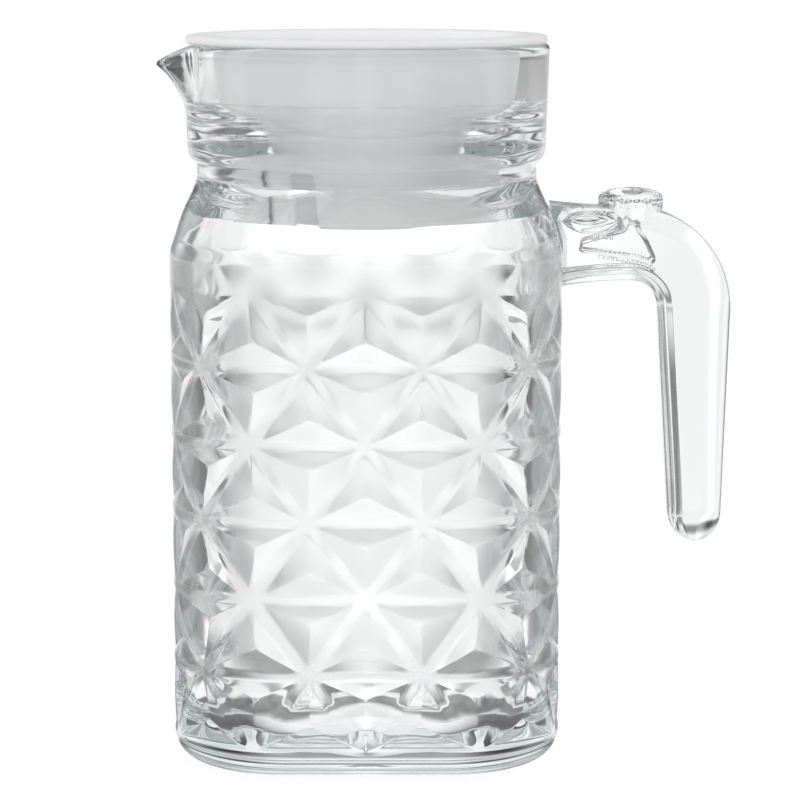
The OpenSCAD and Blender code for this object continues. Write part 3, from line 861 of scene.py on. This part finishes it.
def lid_shell(lid):
    """The lid without its slots: skirt, cup, flange and recess."""
    steps = np.linspace(0, 1, BOWL_RINGS)
    under_z = lid.floor_z - lid.wall
    inner_r = lid.cup_high - lid.wall
    skirt_root = 1 * MM
    floor_out = 0.3 * MM
    floor_round = 1.5 * MM

    def bowl(t, inward):
        """A place on the bowl from its floor to the flange, drawn in by the wall for the inside."""
        return np.array((lid.cup_low + (lid.cup_high - lid.cup_low) * t ** BOWL_POWER - inward,
                         lid.floor_z + (lid.flange_z - lid.floor_z) * t))

    under = rounded_path([(0, under_z, 0), (lid.cup_low - lid.wall, under_z, skirt_root),
                          (lid.skirt_low - lid.wall, lid.skirt_z, lid.edge),
                          (lid.skirt_low, lid.skirt_z, lid.edge),
                          (lid.cup_low, lid.floor_z, 0)], SKIRT_STEPS)[1:]
    outside = [bowl(t, 0) for t in steps[1:-1]]
    flange = rounded_path([(*outside[-1], 0), (lid.cup_high, lid.flange_z, lid.edge),
                           (lid.flange, lid.flange_z, lid.edge),
                           (lid.flange, lid_top, lid.edge * FLANGE_OUTER),
                           (inner_r, lid_top, lid.edge * FLANGE_INNER),
                           (*bowl(steps[-3], lid.wall), 0)], RIM_STEPS)[1:]
    recess = [bowl(t, lid.wall) for t in steps[-4:2:-1]]
    floor = rounded_path([(*recess[-1], 0), (*(bowl(0, lid.wall) + (floor_out, 0)), floor_round),
                          (0, lid.floor_z, 0)], RIM_STEPS)[1:-1]
    path = [(lid.cup_low / 2, under_z)] + under + outside + flange + recess + floor
    path.append((lid.cup_low / 2, lid.floor_z))
    turn = np.arange(LID_POINTS) / LID_POINTS * 2 * np.pi
    rings = [np.stack([r * np.cos(turn), r * np.sin(turn), np.full(LID_POINTS, z)], -1) for r, z in path]
    return lathe_like("jug_lid", rings, (0, 0, under_z), (0, 0, lid.floor_z))


def hazy_skin(tree, body):
    """1 on the inner skin of the body's flat sides and 0 elsewhere, with soft ends."""
    place = add(tree, "TexCoord").outputs["Object"]
    core = body.half - body.corner
    size = add(tree, "VectorMath", {0: place, 1: (1, 1, 0)}, operation="MULTIPLY")
    size = add(tree, "VectorMath", {0: size}, operation="ABSOLUTE")
    # The inner skin is what lies near enough to the rounded square's core
    past = add(tree, "VectorMath", {0: size, 1: (core, core, 0)}, operation="SUBTRACT")
    past = add(tree, "VectorMath", {0: past, 1: (0, 0, 0)}, operation="MAXIMUM")
    away = add(tree, "VectorMath", {0: past}, operation="LENGTH").outputs["Value"]
    mask = add(tree, "Math", {0: away, 1: body.corner - (body.wall + body.pit) / 2}, operation="LESS_THAN")
    height = add(tree, "SeparateXYZ", {0: place}).outputs["Z"]
    sides = add(tree, "SeparateXYZ", {0: size})
    nearer = add(tree, "Math", {0: sides.outputs[0], 1: sides.outputs[1]}, operation="MINIMUM")
    for along, start, end, first, last in (
            (height, body.floor_t + body.inner_foot, body.floor_t + HAZY_FOOT * body.inner_foot, 0.0, 1.0),
            (height, body.shoulder_z - CLEAR_SHOULDER, body.shoulder_z + CLEAR_SHOULDER, 1.0, 0.0),
            (nearer, core + CLEAR_CORNER[0] * body.corner, core + CLEAR_CORNER[1] * body.corner, 1.0, 0.0)):
        ramp = add(tree, "MapRange", {0: along, 1: start, 2: end, 3: first, 4: last},
                   interpolation_type="SMOOTHSTEP")
        mask = add(tree, "Math", {0: mask, 1: ramp}, operation="MULTIPLY")
    return mask


def glass_material(body, looks):
    """Pressed soda-lime glass, fire polished: clear, with a faint green-grey tone in thick places."""
    glass = bpy.data.materials.new("pressed_soda_lime_glass")
    tree = empty_tree(glass)
    shadow = add(tree, "LightPath").outputs["Is Shadow Ray"]
    haze = add(tree, "Math", {0: hazy_skin(tree, body), 1: looks.haze}, operation="MULTIPLY")
    clear = add(tree, "BsdfPrincipled", {
        "Base Color": srgb("#FFFFFF"), "Transmission Weight": 1.0, "IOR": 1.52, "Roughness": haze})
    # Light that falls through the glass keeps almost all of its strength
    through = add(tree, "BsdfTransparent", {"Color": srgb("#FBFDFC")})
    mixed = add(tree, "MixShader", {0: shadow, 1: clear, 2: through})
    tint = add(tree, "VolumeAbsorption", {"Color": srgb(looks.glass_tint), "Density": looks.tint_density})
    add(tree, "OutputMaterial", {"Surface": mixed, "Volume": tint})
    return glass


def milky_material(looks):
    """Injection-moulded low-density polyethylene: milky, softly translucent, with a dull gloss."""
    milky = bpy.data.materials.new("moulded_milky_polyethylene")
    tree = empty_tree(milky)
    place = add(tree, "TexCoord").outputs["Object"]
    # A fine grain from the mould, 1.2 mm across, that breaks up the gloss a little
    grain = add(tree, "TexNoise", {"Vector": place, "Scale": 1 / (1.2 * MM), "Detail": 3.0}).outputs["Fac"]
    bump = add(tree, "Bump", {"Height": grain, "Strength": 0.08, "Distance": 0.05 * MM})
    skin = add(tree, "BsdfPrincipled", {
        "Base Color": srgb(looks.lid_colour), "Roughness": looks.lid_roughness, "IOR": 1.51,
        "Subsurface Weight": 1.0, "Subsurface Radius": (1.0, 1.0, 1.0), "Subsurface Scale": 4.0 * MM,
        "Normal": bump})
    add(tree, "OutputMaterial", {"Surface": skin})
    return milky


def surround(tree, way):
    """Level of the studio in a direction: low white behind the jug, grey over it, dark low diagonals."""
    height = add(tree, "SeparateXYZ", {0: way}).outputs["Z"]
    level_way = add(tree, "VectorMath", {0: way, 1: (1, 1, 0)}, operation="MULTIPLY")
    level_way = add(tree, "VectorMath", {0: level_way}, operation="NORMALIZE")
    azimuth = add(tree, "SeparateXYZ", {0: level_way})
    side, turn = [add(tree, "Math", {0: part}, operation="ABSOLUTE") for part in azimuth.outputs[:2]]
    white, grey, wide, flag, gap, over, ceiling = [
        add(tree, "MapRange", {0: along, 1: start, 2: end, 3: first, 4: last},
            interpolation_type="SMOOTHSTEP")
        for along, (start, end), first, last in (
            (side, WHITE_SIDES, WHITE, WHITE_OUTER), (side, GREY_SIDES, GREY_INNER, GREY_OUTER),
            (side, WIDE_SIDES, 0.0, WIDE), (turn, FLAG_TURNS, FLAG, 1.0), (turn, GAP_TURNS, 1.0, 0.0),
            (height, FLAG_HEIGHTS, 0.0, 1.0), (height, CEILING_HEIGHTS, 0.0, CEILING))]
    level = add(tree, "MapRange", {0: height, 1: GREY_HEIGHTS[0], 2: GREY_HEIGHTS[1], 3: white, 4: grey},
                interpolation_type="SMOOTHSTEP")
    for open_part in (gap, over):
        flag = add(tree, "Math", {0: flag, 1: open_part}, operation="MAXIMUM")
    for operation, other in (("ADD", wide), ("MULTIPLY", flag), ("ADD", ceiling), ("MINIMUM", WHITE)):
        level = add(tree, "Math", {0: level, 1: other}, operation=operation)
    return level


def seen_in_glass(tree, path):
    """1 for rays through or off a shiny surface that haven't met a matt one, and 0 for all others."""
    shiny = add(tree, "Math", {0: path.outputs["Is Transmission Ray"], 1: path.outputs["Is Glossy Ray"]},
                operation="ADD", use_clamp=True)
    first = add(tree, "Math", {0: path.outputs["Diffuse Depth"], 1: 0.5}, operation="LESS_THAN")
    return add(tree, "Math", {0: shiny, 1: first}, operation="MULTIPLY")


def studio_world():
    """White for the camera, the studio's surround in glass, and plain light from above for the rest."""
    world = bpy.data.worlds.new("studio")
    tree = empty_tree(world)
    path = add(tree, "LightPath")
    way = add(tree, "TexCoord").outputs["Generated"]
    height = add(tree, "SeparateXYZ", {0: way}).outputs["Z"]
    sky = add(tree, "MapRange", {0: height, 1: 0.0, 2: SKY_TOP, 3: SKY_LOW, 4: SKY_HIGH})
    level = add(tree, "Mix", {0: seen_in_glass(tree, path), 2: sky, 3: surround(tree, way)})
    final = add(tree, "Mix", {0: path.outputs["Is Camera Ray"], 2: level, 3: 1.0})
    glow = add(tree, "Background", {"Color": final, "Strength": 1.0})
    add(tree, "OutputWorld", {"Surface": glow})
    bpy.context.scene.world = world


def floor_material():
    """White studio board: glows white for the camera, glows with the painted studio surround (dark flags
    included) for rays seen in glass, and keeps a faint shadow.
    """
    board = bpy.data.materials.new("white_studio_board")
    tree = empty_tree(board)
    path = add(tree, "LightPath")
    camera = path.outputs["Is Camera Ray"]
    place = add(tree, "NewGeometry").outputs["Position"]
    way = add(tree, "VectorMath", {0: place, 1: (0, 0, rim_z / 2)}, operation="SUBTRACT")
    way = add(tree, "VectorMath", {0: way}, operation="NORMALIZE")
    # Painted light and shade: rays seen in glass find the board glowing with the studio's surround, white
    # behind the jug and dark at the low diagonals
    level = add(tree, "Mix", {0: camera, 2: surround(tree, way), 3: 1.0})
    # The rest of the white comes from the light that falls on the board
    shown = add(tree, "Math", {0: seen_in_glass(tree, path), 1: camera}, operation="ADD", use_clamp=True)
    glow = add(tree, "Math", {0: shown, 1: BOARD_SHARE}, operation="MULTIPLY")
    paper = add(tree, "BsdfDiffuse", {"Color": srgb("#F4F4F4")})
    white = add(tree, "Emission", {"Color": level, "Strength": BOARD_STRENGTH})
    mixed = add(tree, "MixShader", {0: glow, 1: paper, 2: white})
    add(tree, "OutputMaterial", {"Surface": mixed})
    return board


class JUG_OT_glass(Operator):
    """Builds the glass jug: body, neck, collar, lip and handle in one casting"""
    bl_idname = "jug.glass"
    bl_label = "Glass jug"

    def execute(self, context):
        scene = context.scene
        body, neck, handle = scene.jug_body, scene.jug_neck, scene.jug_handle
        jug = glass_shell(body, neck, -jug_low[0])
        grip = handle_mesh(body, handle)
        combine(grip, thumb_knob(handle), "UNION")
        for side in (-1, 1):
            combine(grip, panel_cutter(body, handle, side), "DIFFERENCE")
            carve_eye(grip, body, handle, side)
            combine(grip, bead_row(body, handle, side), "UNION")
        combine(jug, grip, "UNION")
        dress(jug, GLASS_SHARP, glass_material(body, scene.jug_looks))
        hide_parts("glass_jug")
        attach(jug, "jug")
        return {"FINISHED"}


class JUG_OT_lid(Operator):
    """Builds the lid: flange, cup and skirt with its pouring slot and spring tongue"""
    bl_idname = "jug.lid"
    bl_label = "Lid"

    def execute(self, context):
        lid = context.scene.jug_lid
        shell = lid_shell(lid)
        tongue_turn = 2 * math.asin(lid.tongue_w / 2 / lid.cup_low)
        slit_turn = lid.slot_turn + math.asin(lid.slot_w / 2 / lid.cup_low) + tongue_turn
        combine(shell, skirt_cutter(lid, lid.slot_turn, lid.slot_w, lid.slot_h), "DIFFERENCE")
        combine(shell, skirt_cutter(lid, slit_turn, lid.slit_w, lid.slot_h), "DIFFERENCE")
        combine(shell, tongue_bead(lid, slit_turn - tongue_turn / 2), "UNION")
        dress(shell, LID_SHARP, milky_material(context.scene.jug_looks))
        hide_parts("lid")
        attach(shell, "lid")
        return {"FINISHED"}


class JUG_OT_stage(Operator):
    """Sets up the floor, the studio light and the camera"""
    bl_idname = "jug.stage"
    bl_label = "Stage"

    def execute(self, context):
        scene = context.scene
        corners = ((-1, -1), (1, -1), (1, 1), (-1, 1))
        floor = mesh_object("floor", [(x * BOARD_HALF, y * BOARD_HALF, -BOARD_DROP) for x, y in corners],
                            [(0, 1, 2, 3)])
        floor.data.materials.append(floor_material())
        studio_world()
        camera = bpy.data.cameras.new("camera")
        camera.lens = CAMERA_LENS
        camera.sensor_width = CAMERA_SENSOR
        holder = bpy.data.objects.new("camera", camera)
        holder.location = CAMERA_PLACE
        holder.rotation_euler = (math.radians(90 - CAMERA_PITCH), 0, 0)
        scene.collection.objects.link(holder)
        scene.camera = holder
        scene.view_settings.view_transform = "Standard"
        # Light is reflected many times inside the thick glass before it leaves
        scene.cycles.max_bounces = BOUNCES
        scene.cycles.glossy_bounces = BOUNCES
        scene.cycles.transmission_bounces = BOUNCES
        lamp = bpy.data.lights.new("softbox", "AREA")
        lamp.energy = SOFTBOX_POWER
        lamp.size = SOFTBOX_SIDE
        box = bpy.data.objects.new("softbox", lamp)
        box.location = SOFTBOX_PLACE
        box.rotation_euler = (math.radians(SOFTBOX_TILT), 0, math.radians(SOFTBOX_TURN))
        scene.collection.objects.link(box)
        return {"FINISHED"}


SIZES = {"jug_body": JugBodySizes, "jug_neck": JugNeckSizes, "jug_handle": JugHandleSizes,
         "jug_lid": JugLidSizes, "jug_looks": JugLooks}


class JUG_PT_pieces(Panel):
    """Lists the jug's pieces, sizes and looks"""
    bl_label = "Glass jug with lid"
    bl_idname = "JUG_PT_pieces"
    bl_space_type = "VIEW_3D"
    bl_region_type = "UI"
    bl_category = "Jug"

    def draw(self, context):
        for piece in (JUG_OT_glass, JUG_OT_lid, JUG_OT_stage):
            self.layout.operator(piece.bl_idname)
        for name, group in SIZES.items():
            box = self.layout.box()
            for size in group.__annotations__:
                box.prop(getattr(context.scene, name), size)


CLASSES = (*SIZES.values(), JUG_OT_glass, JUG_OT_lid, JUG_OT_stage, JUG_PT_pieces)


def register():
    """Registers the classes and gives the scene its sizes and looks."""
    for item in CLASSES:
        bpy.utils.register_class(item)
    for name, group in SIZES.items():
        setattr(bpy.types.Scene, name, PointerProperty(type=group))


def unregister():
    """Takes back what register has done."""
    for name in SIZES:
        delattr(bpy.types.Scene, name)
    for item in reversed(CLASSES):
        bpy.utils.unregister_class(item)


def main():
    """Builds the jug, the lid and the stage."""
    register()
    bpy.ops.jug.glass()
    bpy.ops.jug.lid()
    bpy.ops.jug.stage()


if __name__ == "__main__":
    main()
